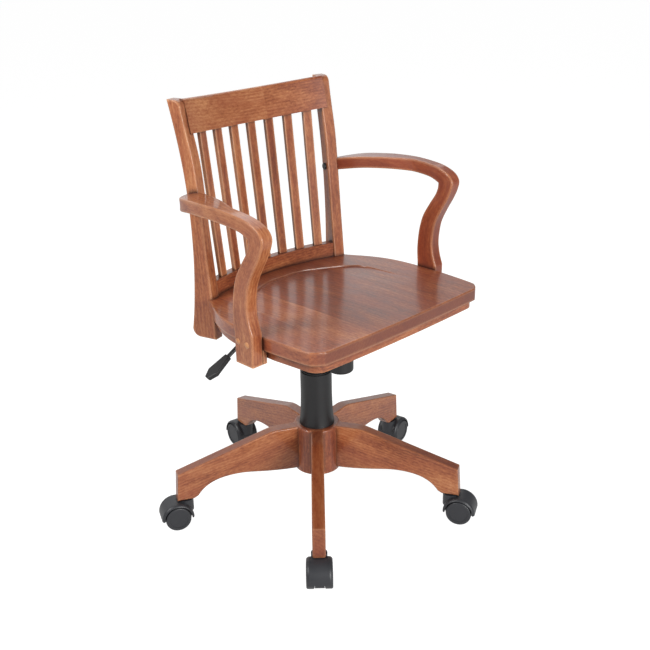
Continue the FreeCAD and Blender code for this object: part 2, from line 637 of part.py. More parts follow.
def beyond_post():
    """Everything outboard of the right post's inner face."""
    start = V(POST_OUT - POST_WIDTH, 0, POST_BOTTOM)
    return post_frame(Part.makeBox(3 * POST_WIDTH, POST_TOP, POST_TOP - POST_BOTTOM, start))


def back_y(x, chord_y):
    """Y of the back's curve at X, from the Y of its ends."""
    drop = math.sqrt(BACK_R ** 2 - CHORD_HALF ** 2)
    return chord_y + math.sqrt(BACK_R ** 2 - x ** 2) - drop


def bent_board(half, chord_y, thick, height):
    """Board bent round the back's curve, standing on z = 0."""
    end_y, middle_y = back_y(half, chord_y), back_y(0, chord_y)
    a, b, c = V(-half, end_y, 0), V(0, middle_y, 0), V(half, end_y, 0)
    centre = V(0, middle_y - BACK_R, 0)
    scale = (BACK_R + thick) / BACK_R

    def outward(p):
        """The same point on the board's rear face."""
        return centre + (p - centre) * scale
    edges = [arc(a, b, c), line(c, outward(c)), arc(outward(c), outward(b), outward(a)), line(outward(a), a)]
    return solid(edges, UP * height)


def make_back(posts):
    """Crest, lower rail and slats between the two posts."""
    crest = bent_board(CREST_HALF, 0, CREST_THICK, CREST_HEIGHT)
    crest = soften(crest, CREST_EDGE, lambda e, m: m.z > CREST_HEIGHT - 0.1 and e.Length > 100)
    crest.rotate(V(0, 0, 0), V(1, 0, 0), -CREST_TILT_DEG)
    crest.translate(V(0, CREST_CHORD_Y, CREST_BOTTOM))
    rail = bent_board(CREST_HALF, RAIL_CHORD_Y, RAIL_THICK, RAIL_HEIGHT)
    rail = soften(rail, RAIL_EDGE, lambda e, m: m.z > RAIL_HEIGHT - 0.1 and e.Length > 100)
    rail.translate(V(0, 0, SEAT_TOP))
    tilt = math.radians(CREST_TILT_DEG)
    slats = []
    for k in range(SLAT_COUNT):
        i = k - (SLAT_COUNT - 1) / 2
        xt, xb = i * SLAT_PITCH_TOP, i * SLAT_PITCH_LOW
        sag = back_y(xt, 0) + SLAT_SETBACK
        top = V(xt, CREST_CHORD_Y + sag * math.cos(tilt), CREST_BOTTOM - sag * math.sin(tilt))
        low = V(xb, back_y(xb, RAIL_CHORD_Y) + SLAT_SETBACK, SEAT_TOP + RAIL_HEIGHT)
        way = (top - low).normalize()
        turn = math.asin(xt / BACK_R)
        across = V(math.cos(turn), -math.sin(turn), 0)
        face = across.cross(way).normalize()
        across = way.cross(face)
        corner = low - way * SLAT_TENON - across * (SLAT_WIDTH / 2)
        length = (top - low).Length + 2 * SLAT_TENON
        a, b = corner, corner + across * SLAT_WIDTH
        c, d = b - face * SLAT_THICK, a - face * SLAT_THICK
        slat = solid([line(a, b), line(b, c), line(c, d), line(d, a)], way * length)
        slat = soften(slat, SLAT_EDGE, lambda e, m: e.Length > length - 1)
        slats.append(slat)
        save("slat_%d" % (k + 1), slat)
    for slat in slats:
        crest = crest.cut(slat)
        rail = rail.cut(slat)
    for post in posts:
        crest = crest.cut(post)
    for side in (beyond_post(), mirrored(beyond_post())):
        rail = rail.cut(side)
    save("crest_rail", middle_solid(crest))
    save("lower_rail", middle_solid(rail))


def middle_solid(shape):
    """The largest piece left of a board after its ends are cut off."""
    return max(shape.Solids, key=lambda s: s.Volume)


def arm_profile():
    """Side view of the right arm as a closed outline in the plane X = 0."""
    bottom = ARM_FOOT_BOTTOM

    def at(y, share):
        """Point at a share of the height from the foot's top to the arm's top."""
        return V(0, y, ARM_FOOT_TOP + share * (ARM_TOP - ARM_FOOT_TOP))
    over = [at(150, 0.897), at(120, 0.932), at(83, 0.962), at(45, 0.981), at(5, 0.995), at(-45, 1),
            at(-95, 0.981), at(-122, 0.951), at(-140, 0.906), at(-148, 0.845), at(-145, 0.77),
            at(-136, 0.676), at(-121, 0.554), at(-108, 0.427), at(-102.5, 0.3), at(-101.5, 0.197),
            at(-105.5, 0.094), at(-112.5, 0)]
    toe = V(0, -111.5, bottom)
    armpit = at(-113, 0.822)
    rear_face = [V(0, -65.5, bottom), V(0, -65, ARM_FOOT_TOP - 8), at(-63, 0.131), at(-65, 0.268),
                 at(-69, 0.376), at(-77, 0.488), at(-92, 0.606), at(-106, 0.704), at(-111.5, 0.765), armpit]
    under = [armpit, at(-88, 0.864), at(-60, 0.878), at(-25, 0.885), at(10, 0.883), at(60, 0.864),
             at(108, 0.826), at(150, 0.782)]
    return [curve(over), line(over[-1], toe), line(toe, rear_face[0]), curve(rear_face), curve(under),
            line(under[-1], over[0])]


def post_face_x(y):
    """X of the right post's outer face where it passes a Y."""
    turn = math.radians(POST_TURN_DEG)
    return POST_OUT / math.cos(turn) + y * math.tan(turn)


def arm_plan():
    """Plan of the right arm: straight at the front, flared in to the post at the rear."""
    z = ARM_FOOT_BOTTOM - 5
    flare = SEAT_HALF - post_face_x(96) - 0.9

    def inner(share, y):
        """Point of the inner wall, drawn in by a share of the flare."""
        return V(SEAT_HALF - share * flare, y, z)

    def outer(share, y):
        """Point of the outer wall, drawn in by a share of the flare."""
        return V(ARM_OUT - share * flare, y, z)
    inside = [inner(0, -60), inner(0.1, -35), inner(0.36, 0), inner(0.7, 52), inner(1, 96)]
    outside = [outer(0, -95), outer(0.02, -38), outer(0.1, 18), outer(0.24, 58), outer(0.34, 80)]
    rear = [outer(1.16, 128), outer(0.62, 108), outside[-1]]
    end = inside[-1] + V(-12, 26, 0)
    front_in, front_out = inner(0, ARM_BLANK_FRONT), outer(0, ARM_BLANK_FRONT)
    return [line(front_in, inside[0]), curve(inside), line(inside[-1], end), line(end, rear[0]),
            arc(rear[0], rear[1], rear[2]), curve(outside[::-1]), line(outside[0], front_out),
            line(front_out, front_in)]


def long_edges(arm, walls, sides):
    """Edges of the arm that lie on these walls of its plan and on these lines of its side view."""
    plan = Part.Compound(walls)
    side = Part.Compound(sides)

    def on_both(edge, m):
        """True where the edge's middle lies on both."""
        in_plan = Part.Vertex(m.x, m.y, ARM_FOOT_BOTTOM - 5).distToShape(plan)[0]
        return in_plan < 0.2 and Part.Vertex(0, m.y, m.z).distToShape(side)[0] < 0.2
    return edges_where(arm, on_both)


def rounded_arm(arm, profile, plan):
    """Round the long edges of the right arm, the lower ones first."""
    for sides in (profile[3:5], profile[:2]):
        for walls in (plan[4:7], plan[:2]):
            arm = arm.makeFillet(ARM_EDGE, long_edges(arm, walls, sides))
    return arm


def make_arms(post, bolt):
    """Both arms, each with a pad under the seat's edge, and the wood plugs in their feet."""
    profile = arm_profile()
    plan = arm_plan()
    side = solid(profile, V(ARM_OUT + 10, 0, 0))
    blank = side.common(solid(plan, UP * (POST_TOP - ARM_FOOT_BOTTOM)))
    arm = rounded_arm(middle_solid(blank), profile, plan)
    arm = middle_solid(arm.cut(post).cut(bolt))
    pad = box(SEAT_HALF - BOARD_INSET + SEAM, SEAT_HALF + ARM_EDGE + 1, PAD_FRONT, PAD_BACK,
              ARM_FOOT_BOTTOM, SEAT_UNDER - SEAM)
    arm = arm.fuse(pad).removeSplitter()
    plugs = []
    for y, rise in PLUG_PLACES:
        place = V(ARM_OUT, y, SEAT_UNDER + rise)
        hole = Part.makeCylinder(PLUG_R, PLUG_DEPTH, place, V(-1, 0, 0))
        arm = arm.cut(hole)
        dome_r = (PLUG_R ** 2 + PLUG_PROUD ** 2) / (2 * PLUG_PROUD)
        dome = Part.makeSphere(dome_r, place + V(PLUG_PROUD - dome_r, 0, 0))
        keep = Part.makeCylinder(PLUG_R, PLUG_PROUD + 1, place, V(1, 0, 0))
        plugs.append(hole.fuse(dome.common(keep)).removeSplitter())
    save("arm_right", arm)
    save("arm_left", mirrored(arm))
    plugs += [mirrored(plug) for plug in plugs]
    save("arm_plugs", Part.makeCompound(plugs))


def main():
    """Build every piece and write one file for each."""
    make_base()
    make_casters()
    make_lift()
    make_covers()
    make_mechanism()
    make_knob()
    make_lever()
    bolt = make_arm_bolt()
    post = make_post().cut(bolt)
    posts = [post, mirrored(post)]
    save("frame_bolts", Part.makeCompound([bolt, mirrored(bolt)]))
    save("back_post_right", posts[0])
    save("back_post_left", posts[1])
    make_seat(posts)
    make_back(posts)
    make_arms(post, bolt)
    os.makedirs("parts", exist_ok=True)
    for name, shape in NODES.items():
        shape.exportStep("parts/%s.step" % name)


main()
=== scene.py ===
# %% [markdown]
# # A bankers swivel chair, dressed for the camera
# The solid parts of the chair come from a CAD model that is already right in size and place.
# This lesson gives each part the finish of the real one, replaces the few parts whose soft
# shapes a surface shows better, and photographs the chair in a plain white studio.

# %% Load the frame
import math

import bpy
import numpy as np
from mathutils import Matrix, Vector


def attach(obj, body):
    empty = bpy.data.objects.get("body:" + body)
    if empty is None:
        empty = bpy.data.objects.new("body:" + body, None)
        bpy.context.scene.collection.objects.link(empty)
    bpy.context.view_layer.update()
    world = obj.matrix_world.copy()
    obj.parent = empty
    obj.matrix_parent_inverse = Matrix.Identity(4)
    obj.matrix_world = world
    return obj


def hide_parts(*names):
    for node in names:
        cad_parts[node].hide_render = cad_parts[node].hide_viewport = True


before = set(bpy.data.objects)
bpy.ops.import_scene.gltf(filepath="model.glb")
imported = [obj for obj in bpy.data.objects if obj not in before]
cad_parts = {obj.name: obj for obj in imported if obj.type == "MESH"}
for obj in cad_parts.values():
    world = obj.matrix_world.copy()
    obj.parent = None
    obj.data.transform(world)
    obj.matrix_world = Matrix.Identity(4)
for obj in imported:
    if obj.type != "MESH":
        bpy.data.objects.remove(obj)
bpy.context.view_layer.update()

print("frame parts:", len(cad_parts))

# %% [markdown]
# ## Colours and nodes
# Colours are chosen as sRGB hex values, as a paint chart gives them. Blender's shaders work in
# linear light, so one function converts them. Another adds a shader node, sets its values and
# links its inputs, which keeps each material short enough to read.

# %% Colour and node helpers
def paint(hex_colour):
    """Linear RGBA of an sRGB hex colour: c/12.92 below 0.04045, else ((c+0.055)/1.055)^2.4."""
    c = np.array([int(hex_colour[i:i + 2], 16) for i in (1, 3, 5)]) / 255
    rgb = np.where(c <= 0.04045, c / 12.92, ((c + 0.055) / 1.055) ** 2.4)
    return (*rgb.tolist(), 1.0)


def add(tree, kind, links=None, **settings):
    """Add a node; links maps an input to a value or to another node's output socket."""
    node = tree.nodes.new("ShaderNode" + kind)
    for name, value in settings.items():
        setattr(node, name, value)
    for name, value in (links or {}).items():
        socket = node.inputs[name]
        if isinstance(value, bpy.types.NodeSocket):
            tree.links.new(value, socket)
        else:
            socket.default_value = value
    return node


def fresh_material(name):
    """An empty node material with its output and its principled shader."""
    mat = bpy.data.materials.new(name)
    mat.use_nodes = True
    mat.node_tree.nodes.clear()
    out = add(mat.node_tree, "OutputMaterial")
    shader = add(mat.node_tree, "BsdfPrincipled")
    mat.node_tree.links.new(shader.outputs["BSDF"], out.inputs["Surface"])
    return mat, mat.node_tree, shader


# %% [markdown]
# ## Stained, lacquered hardwood
# The real chair is made of rubberwood, a pale plantation hardwood, stained a fruitwood brown and
# sprayed with semi-gloss lacquer. To the eye that gives fine dark pore dashes along the grain, soft
# blotches where the stain went in unevenly, a deeper tone on end grain, which takes more stain, and a
# smooth clear coat that reflects the room. On top of these, inside corners and some faces that look
# one way are darkened as painted shade, and edges are paled, partly as wear where the stain wore thin
# and partly as a painted highlight. Corners and edges are found with ambient occlusion, outside and
# inside the wood. Each part is cut from its own board, so each gets its own material with the grain
# turned along the part and its own tone.

# %% Wood finish
STAIN = ((0.26, "#5A2715"), (0.42, "#854527"), (0.54, "#A8633B"), (0.74, "#C98B5C"))
# The pore colour also paints shade in inside corners, the end grain colour also paints shade on chosen faces,
# and the pale edge colour stands partly for wear and partly for a painted highlight.
RUDDY, PORE_AND_CORNER_SHADE, END_GRAIN_AND_FACE_SHADE, WEAR_AND_HIGHLIGHT_COLOUR = "#8F3F28", "#34140B", "#66290F", "#DDA274"
# pattern sizes in cycles per metre, along the grain and twice across it
BEND = (4.0, 16.0, 16.0)            # sway of the growth rings, 250 by 60 mm
DRIFT = (5.0, 26.0, 26.0)           # slow change of colour, 200 by 40 mm
RUDDY_PATCH = (9.0, 26.0, 26.0)     # redder patches, 110 by 40 mm
BLOTCH = (22.0, 48.0, 48.0)         # stain blotches, 45 by 20 mm
STREAK = (12.0, 420.0, 420.0)       # fibres 2.4 mm wide, split to 0.6; really 0.3, coarser to show
FLECK = (120.0, 300.0, 300.0)       # flecks, 8 by 3 mm
PORES = (110.0, 1200.0, 1200.0)     # pore dashes, 9 by 0.8 mm
KNOTS = 16.0                        # cells 60 mm wide, of which a few hold a pin knot
RING_STEP = 0.0062                  # metres between growth rings
CORNER_SHADE_REACH, WEAR_AND_HIGHLIGHT_REACH = 0.012, 0.006     # how far painted shade reaches into inside corners, and how far edges are paled as wear and painted highlight, in metres
AO_SAMPLES = 8


def along(direction):
    """Euler turn that brings a grain direction onto local X."""
    turn = Vector(direction).normalized().rotation_difference(Vector((1, 0, 0)))
    return turn.to_euler()


def weighted(tree, parts, base=0.0):
    """Sum of values times weights, plus a base."""
    total = base
    for value, weight in parts:
        total = add(tree, "Math", {0: value, 1: weight, 2: total}, operation="MULTIPLY_ADD").outputs[0]
    return total


def wood_pattern(tree, vector, scale, detail=3.0, rough=0.55, twist=0.0):
    """Noise value about 0.5, stretched by a per-axis scale in cycles per metre."""
    place = add(tree, "Mapping", {"Vector": vector, "Scale": scale}).outputs["Vector"]
    return add(tree, "TexNoise", {"Vector": place, "Scale": 1.0, "Detail": detail, "Roughness": rough,
                                  "Distortion": twist}).outputs["Fac"]


def stained_wood(name, grain, seed, tone=0.0, gloss=0.36, coat=0.5, pith=0.07, red=0.0, joints=(),
                 knots=0.9, lines=1.0, painted_shade_faces=None, wear_and_highlight=0.7, polish=0.1, lots=0.16, soak=0.42):
    """Rubberwood with its grain along a direction, or along a bent piece's own "board" attribute.
    Joints are the X places, in metres, where one glued-up board ends and the next begins, and lots
    is how far the boards' tones lie apart. Soak darkens the end grain, darker = (direction,
    strength) paints shade on the faces that look that way or back, rub pales the edges, partly as
    wear and partly as a painted highlight, and knots is the share of cells without a knot."""
    mat, tree, shader = fresh_material(name)
    if grain is None:
        board = add(tree, "Attribute", attribute_name="board").outputs["Vector"]
    else:
        place = add(tree, "TexCoord").outputs["Object"]
        board = add(tree, "Mapping", {"Vector": place, "Rotation": along(grain)}).outputs["Vector"]
    index = 0.0
    for joint in joints:
        place = add(tree, "TexCoord").outputs["Object"]
        across = add(tree, "SeparateXYZ", {"Vector": place}).outputs["X"]
        past = add(tree, "Math", {0: across, 1: joint}, operation="GREATER_THAN").outputs[0]
        index = add(tree, "Math", {0: past, 1: index}, operation="ADD").outputs[0]
    if joints:
        draw = add(tree, "Math", {0: index, 1: seed * 0.37}, operation="ADD").outputs[0]
        lot = add(tree, "TexWhiteNoise", {"W": draw}, noise_dimensions="1D").outputs
        board = add(tree, "VectorMath", {0: lot["Color"], 1: (1.0, 0.03, 0.02), 2: board},
                    operation="MULTIPLY_ADD").outputs["Vector"]
        tone = weighted(tree, [(lot["Value"], lots)], tone - lots / 2)
    # growth rings round a pith beside the board and a little askew, so a flat face shows arches
    askew = (math.radians(4 + seed % 3), math.radians(3.5 + seed % 4), math.radians(-5 + seed % 7))
    beside = (0, pith, 0.011 * (seed % 5))
    heart = add(tree, "Mapping", {"Vector": board, "Rotation": askew, "Location": beside,
                                  "Scale": (0.05, 1, 1)}).outputs["Vector"]
    elsewhere = (seed * 1.37, seed * 0.71, seed * 0.53)
    board = add(tree, "Mapping", {"Vector": board, "Location": elsewhere}).outputs["Vector"]
    bend = wood_pattern(tree, board, BEND, 2.0)
    radius = add(tree, "VectorMath", {0: heart}, operation="LENGTH").outputs["Value"]
    radius = weighted(tree, [(bend, 0.022)], radius)
    turns = add(tree, "Math", {0: radius, 1: 2 * math.pi / RING_STEP}, operation="MULTIPLY").outputs[0]
    rings = add(tree, "Math", {0: turns}, operation="SINE").outputs[0]
    # how much stain each spot took, and the colour that it has from that
    drift = wood_pattern(tree, board, DRIFT, 3.0, 0.5, 0.5)
    blotch = wood_pattern(tree, board, BLOTCH, 4.0, 0.55)
    streak = wood_pattern(tree, board, STREAK, 3.0, 0.6)
    fleck = wood_pattern(tree, board, FLECK, 3.0, 0.7)
    fibre = add(tree, "Math", {0: streak, 1: 0.5}, operation="SUBTRACT").outputs[0]
    mix = weighted(tree, [(rings, 0.03 * lines), (drift, 0.40), (blotch, 0.26), (fleck, 0.44),
                          (tone, 1.0)], -0.045)
    mix = weighted(tree, [(fibre, 0.20 * lines)], mix)
    ramp = add(tree, "ValToRGB", {"Fac": mix})
    bands = ramp.color_ramp.elements
    while len(bands) < len(STAIN):
        bands.new(0.5)
    for band, (position, hex_colour) in zip(bands, STAIN):
        band.position = position
        band.color = paint(hex_colour)
    colour = ramp.outputs["Color"]
    # patches, or whole boards, that took the stain redder
    ruddy = weighted(tree, [(wood_pattern(tree, board, RUDDY_PATCH, 2.0), 0.9)], red - 0.33)
    colour = add(tree, "Mix", {"Factor": ruddy, "A": colour, "B": paint(RUDDY)},
                 data_type="RGBA", clamp_factor=True).outputs["Result"]
    # pores, and pin knots that are dark over 2.5 mm and gone at 6 mm
    pores = wood_pattern(tree, board, PORES, 1.0)
    pores = add(tree, "MapRange", {"Value": pores, "From Min": 0.58, "From Max": 0.74}).outputs["Result"]
    cells = add(tree, "TexVoronoi", {"Vector": board, "Scale": KNOTS})
    chance = add(tree, "SeparateXYZ", {"Vector": cells.outputs["Color"]}).outputs["X"]
    rare = add(tree, "Math", {0: chance, 1: knots}, operation="GREATER_THAN").outputs[0]
    knot = add(tree, "MapRange", {"Value": cells.outputs["Distance"], "From Min": 0.02, "From Max": 0.05,
                                  "To Min": 1.0, "To Max": 0.0}).outputs["Result"]
    knot = add(tree, "Math", {0: knot, 1: rare}, operation="MULTIPLY").outputs[0]
    marks = weighted(tree, [(pores, 0.26), (knot, 0.6)])
    dark = add(tree, "Mix", {"Factor": marks, "A": colour, "B": paint(PORE_AND_CORNER_SHADE)}, data_type="RGBA",
               clamp_factor=True).outputs["Result"]
    # end grain drinks more stain; painted shade darkens the faces of some boards that look one way, their
    # tops or sides
    facing = add(tree, "TexCoord").outputs["Normal"]
    for soak_or_shade in ((grain, soak), painted_shade_faces):
        if soak_or_shade is not None and soak_or_shade[0] is not None:
            way, strength = tuple(Vector(soak_or_shade[0]).normalized()), soak_or_shade[1]
            toward = add(tree, "VectorMath", {0: facing, 1: way}, operation="DOT_PRODUCT").outputs["Value"]
            toward = add(tree, "Math", {0: toward}, operation="ABSOLUTE").outputs[0]
            toward = add(tree, "MapRange", {"Value": toward, "From Min": 0.55, "From Max": 0.95,
                                            "To Max": strength}).outputs["Result"]
            dark = add(tree, "Mix", {"Factor": toward, "A": dark, "B": paint(END_GRAIN_AND_FACE_SHADE)}, data_type="RGBA",
                       clamp_factor=True).outputs["Result"]
    # painted shade darkens inside corners; edges are paled, partly as wear and partly as a painted highlight
    corner = add(tree, "AmbientOcclusion", {"Distance": CORNER_SHADE_REACH}, samples=AO_SAMPLES).outputs["AO"]
    corner = add(tree, "MapRange", {"Value": corner, "From Min": 0.5, "From Max": 0.92, "To Min": 0.9,
                                    "To Max": 0.0}).outputs["Result"]
    wear_and_highlight_mask = add(tree, "AmbientOcclusion", {"Distance": WEAR_AND_HIGHLIGHT_REACH}, samples=AO_SAMPLES, inside=True,
                 only_local=True).outputs["AO"]
    wear_and_highlight_mask = add(tree, "MapRange", {"Value": wear_and_highlight_mask, "From Min": 0.56, "From Max": 0.92, "To Min": wear_and_highlight,
                                    "To Max": 0.0}).outputs["Result"]
    dark = add(tree, "Mix", {"Factor": wear_and_highlight_mask, "A": dark, "B": paint(WEAR_AND_HIGHLIGHT_COLOUR)}, data_type="RGBA",
               clamp_factor=True).outputs["Result"]
    dark = add(tree, "Mix", {"Factor": corner, "A": dark, "B": paint(PORE_AND_CORNER_SHADE)}, data_type="RGBA",
               clamp_factor=True).outputs["Result"]
    tree.links.new(dark, shader.inputs["Base Color"])
    rough = add(tree, "MapRange", {"Value": blotch, "From Min": 0.3, "From Max": 0.7, "To Min": gloss,
                                   "To Max": gloss + 0.12}).outputs["Result"]
    tree.links.new(rough, shader.inputs["Roughness"])
    relief = weighted(tree, [(pores, -0.6), (streak, 0.8)])
    bump = add(tree, "Bump", {"Height": relief, "Strength": 0.25, "Distance": 0.00012})
    tree.links.new(bump.outputs["Normal"], shader.inputs["Normal"])
    shader.inputs["IOR"].default_value = 1.45
    shader.inputs["Coat Weight"].default_value = coat
    shader.inputs["Coat Roughness"].default_value = polish
    return mat


# %% [markdown]
# ## Moulded nylon, powder coat and zinc
# The casters, covers, knob and paddle are glass-filled nylon moulded in a spark-eroded tool, which
# leaves a fine even grain that breaks up the reflections. The lift and the mechanism are black
# powder-coated steel, a little smoother, with an orange-peel ripple. Axles, bolts and the pivot
# pin are zinc plated.

# %% Plastic and metal finishes
def moulded_nylon(name, colour, rough):
    """Nylon with a 0.6 mm spark-eroded grain (real grain is finer, drawn so that it shows)."""
    mat, tree, shader = fresh_material(name)
    place = add(tree, "TexCoord").outputs["Object"]
    grain = add(tree, "TexNoise", {"Vector": place, "Scale": 1700.0, "Detail": 2.0}).outputs["Fac"]
    cloud = add(tree, "TexNoise", {"Vector": place, "Scale": 26.0, "Detail": 3.0}).outputs["Fac"]
    tint = add(tree, "Mix", {"Factor": cloud, "A": paint(colour[0]), "B": paint(colour[1])},
               data_type="RGBA").outputs["Result"]
    tree.links.new(tint, shader.inputs["Base Color"])
    even = add(tree, "MapRange", {"Value": cloud, "To Min": rough - 0.05, "To Max": rough + 0.05})
    tree.links.new(even.outputs["Result"], shader.inputs["Roughness"])
    bump = add(tree, "Bump", {"Height": grain, "Strength": 0.35, "Distance": 0.00006})
    tree.links.new(bump.outputs["Normal"], shader.inputs["Normal"])
    shader.inputs["IOR"].default_value = 1.52
    return mat


def powder_coat(name, colour, rough):
    """Black powder coat with a 2 mm orange-peel ripple."""
    mat, tree, shader = fresh_material(name)
    place = add(tree, "TexCoord").outputs["Object"]
    peel = add(tree, "TexNoise", {"Vector": place, "Scale": 520.0, "Detail": 1.0}).outputs["Fac"]
    bump = add(tree, "Bump", {"Height": peel, "Strength": 0.3, "Distance": 0.00008})
    tree.links.new(bump.outputs["Normal"], shader.inputs["Normal"])
    shade = add(tree, "Mix", {"Factor": peel, "A": paint(colour[0]), "B": paint(colour[1])},
                data_type="RGBA").outputs["Result"]
    tree.links.new(shade, shader.inputs["Base Color"])
    shader.inputs["Roughness"].default_value = rough
    return mat


def zinc_plate(name):
    """Bright zinc over drawn steel, with faint 1 mm draw streaks."""
    mat, tree, shader = fresh_material(name)
    place = add(tree, "TexCoord").outputs["Object"]
    drawn = add(tree, "Mapping", {"Vector": place, "Scale": (900.0, 900.0, 40.0)}).outputs["Vector"]
    streak = add(tree, "TexNoise", {"Vector": drawn, "Scale": 1.0, "Detail": 2.0}).outputs["Fac"]
    rough = add(tree, "MapRange", {"Value": streak, "To Min": 0.24, "To Max": 0.40}).outputs["Result"]
    tree.links.new(rough, shader.inputs["Roughness"])
    shade = add(tree, "Mix", {"Factor": streak, "A": paint("#B9B8B2"), "B": paint("#D2D0C8")},
                data_type="RGBA").outputs["Result"]
    tree.links.new(shade, shader.inputs["Base Color"])
    shader.inputs["Metallic"].default_value = 1.0
    return mat


NYLON = moulded_nylon("moulded black nylon", ("#0C0C0E", "#131315"), 0.44)
CASTER_NYLON = moulded_nylon("caster nylon", ("#25262A", "#2F3034"), 0.42)
COAT = powder_coat("black powder coat", ("#151517", "#1D1D1F"), 0.38)
ZINC = zinc_plate("zinc plated steel")
BUSH = moulded_nylon("natural nylon", ("#C9C6BA", "#D8D5C9"), 0.5)

# %% [markdown]
# ## Dressing the frame's own parts
# A part whose shape is right keeps its mesh and only gets a finish. The wood grain runs along each
# stick: outwards on the legs, upright on posts and slats, across on the crest and lower rail. The
# crest is glued from two boards of different tone. Where a mortise or an end meets the surface, the
# pale edges, partly wear and partly painted highlight, would draw its outline, so rub is zero there.
# The legs' tops and the slats' sides are darkened as painted shade.

# %% Finishes on the frame's parts
def dress(part, mat):
    """Give one of the frame's parts a single material."""
    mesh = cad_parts[part].data
    mesh.materials.clear()
    mesh.materials.append(mat)


LEG_COUNT = 5
FIRST_LEG = math.radians(-134.4)
for k in range(LEG_COUNT):
    turn = FIRST_LEG + k * 2 * math.pi / LEG_COUNT
    leg_grain = (math.cos(turn), math.sin(turn), -0.25)
    # painted shade: the faces that look up, the leg tops under the seat, are darkened
    dress(f"base_leg_{k + 1}", stained_wood(f"leg board {k + 1}", leg_grain, k + 3, tone=0.01 * (k % 3),
                                             painted_shade_faces=((0, 0, 1), 0.6), wear_and_highlight=0.25))
dress("base_hub", stained_wood("hub block", (0, 0, 1), 21, tone=-0.06, red=0.1, wear_and_highlight=0.1))

UPRIGHT_TONES = (0.0, -0.05, 0.02, -0.02, -0.06, 0.02, 0.0)
for k, tone in enumerate(UPRIGHT_TONES):
    # painted shade: the slats' sides, which look along the row, are darkened
    dress(f"slat_{k + 1}", stained_wood(f"slat board {k + 1}", (0, 0.12, 1), 31 + k, tone=tone,
                                           painted_shade_faces=((1, 0, 0), 0.9)))
dress("back_post_left", stained_wood("left post board", (0, 0.08, 1), 41, tone=0.02))
dress("back_post_right", stained_wood("right post board", (0, 0.08, 1), 47, tone=0.02))
dress("crest_rail", stained_wood("crest boards", (1, 0, 0), 53, joints=(0.04,), lots=0.4, wear_and_highlight=0.0))
dress("lower_rail", stained_wood("lower rail board", (1, 0, 0), 57, tone=-0.03, wear_and_highlight=0.0))
dress("seat_underboard", stained_wood("under board", (1, 0, 0), 67, wear_and_highlight=0.15))
dress("arm_plugs", stained_wood("plug wood", (0, 0, 1), 81, tone=0.3, wear_and_highlight=0.0))

for part in ("cover_lower", "cover_middle", "cover_upper", "tension_knob", "lever_paddle"):
    dress(part, NYLON)
for part in ("lift_tube", "lift_cylinder", "mech_housing", "seat_plate", "lever_rod", "frame_bolts"):
    dress(part, COAT)
for part in ("caster_sockets", "lift_rod", "pivot_pin", "tension_spring", "tension_bolt", "seat_bolts"):
    dress(part, ZINC)
dress("lift_bush", BUSH)
for k in range(LEG_COUNT):
    dress(f"caster_{k + 1}_hood", CASTER_NYLON)
    dress(f"caster_{k + 1}_wheel_a", CASTER_NYLON)
    dress(f"caster_{k + 1}_wheel_b", CASTER_NYLON)
    dress(f"caster_{k + 1}_stem", ZINC)
print("dressed parts:", sum(len(o.data.materials) == 1 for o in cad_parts.values()))

# %% [markdown]
# ## The arms
# Each arm is one board, sawn to a goose-neck in side view and then shaped in plan, with its edges
# eased. The saw follows the curve, and so does the figure of the wood. A box texture would run
# straight through the bend, so the arm is rebuilt as a section carried along its own side view:
# the upper and lower outlines give the height of the section at each step, and the plan gives
# its width. Each point also stores its place in the straightened board, for the wood finish.

# %% Curves, sections and grids
def through(points, steps):
    """Catmull-Rom curve with so many steps to each span: a span blends four neighbours with
    weights of t, t^2 and t^3 so that it passes through the middle two."""
    points = np.array(points, float)
    ends = np.vstack([2 * points[0] - points[1], points, 2 * points[-1] - points[-2]])
    u = np.arange((len(points) - 1) * steps) / steps
    i = u.astype(int)
    t = (u - i)[:, None]
    a, b, c, d = ends[i], ends[i + 1], ends[i + 2], ends[i + 3]
    on = 0.5 * (2 * b + (c - a) * t + (2 * a - 5 * b + 4 * c - d) * t ** 2 + (3 * b - a - 3 * c + d) * t ** 3)
    return np.vstack([on, points[-1:]])


def chained(pieces, steps):
    """Curves end to end, with a crisp bend where one meets the next."""
    runs = [through(piece, steps) for piece in pieces]
    return np.vstack([run[:-1] for run in runs[:-1]] + [runs[-1]])


def eased_section(half_w, half_h, radius, arc_steps=5, brace=0.5):
    """Rectangle with rounded corners: each point is its corner's centre plus radius times
    (cos, sin). One more point just past each end of an arc keeps the flats flat to the light."""
    quarter = np.linspace(0, math.pi / 2, arc_steps)
    quarter = np.concatenate([quarter[:1], quarter, quarter[-1:]])
    past = np.zeros(arc_steps + 2)
    past[0], past[-1] = -brace, brace
    turns = np.concatenate([quarter + k * math.pi / 2 for k in range(4)])
    past = np.tile(past, 4)
    sx = np.repeat([1, -1, -1, 1], arc_steps + 2)
    sy = np.repeat([1, 1, -1, -1], arc_steps + 2)
    return ((half_w - radius) * sx + radius * np.cos(turns) - past * np.sin(turns),
            (half_h - radius) * sy + radius * np.sin(turns) + past * np.cos(turns))


